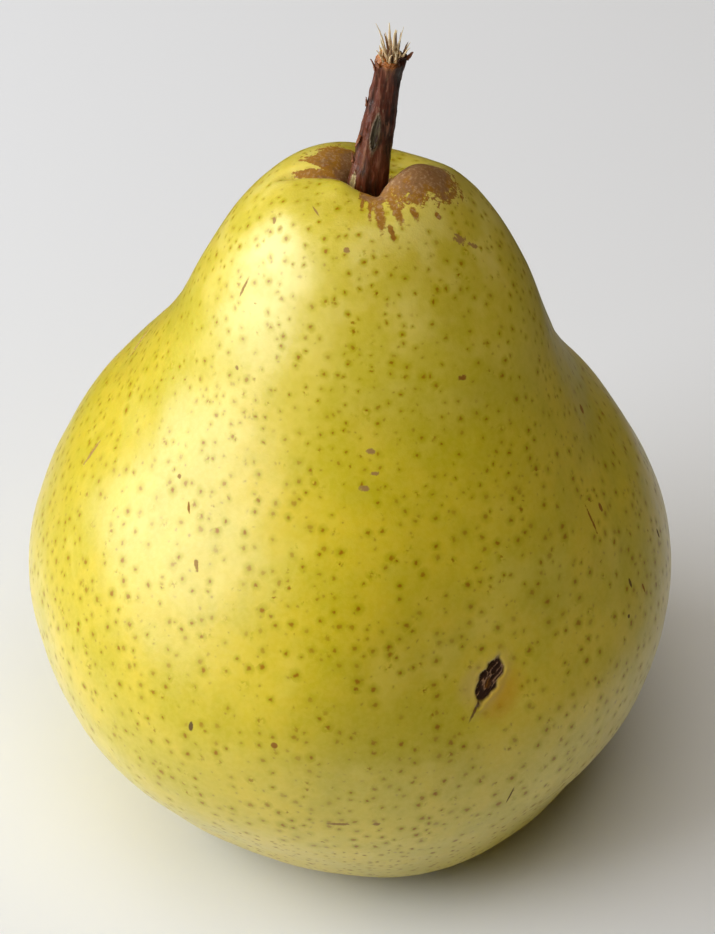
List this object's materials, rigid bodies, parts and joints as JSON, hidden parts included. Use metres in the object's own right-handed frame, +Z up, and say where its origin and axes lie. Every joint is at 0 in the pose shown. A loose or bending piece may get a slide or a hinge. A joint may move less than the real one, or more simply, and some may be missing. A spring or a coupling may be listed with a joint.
{
  "type": "pear",
  "caption": "Ripe dessert pear standing on its calyx end, with a woody stalk and the dried flower remains in the basin underneath.",
  "frame": {"origin": "on the surface that the pear rests on, under the middle of its box", "axes": "+Z up along the core towards the stalk; -Y is the side with the brown scar; +X is to the right of that side"},
  "size_m": [0.0838, 0.0845, 0.1135],
  "materials": {
    "skin": "satin, slightly waxy fruit skin",
    "stalk": "ridged bark with a faint sheen",
    "sepal": "dry, matt",
    "stamens": "dry, matt"
  },
  "bodies": {
    "root": {"fruit": "skin", "stalk": "stalk", "sepal_1": "sepal", "sepal_2": "sepal", "sepal_3": "sepal", "sepal_4": "sepal", "sepal_5": "sepal", "stamens": "stamens"}
  },
  "joints": []
}
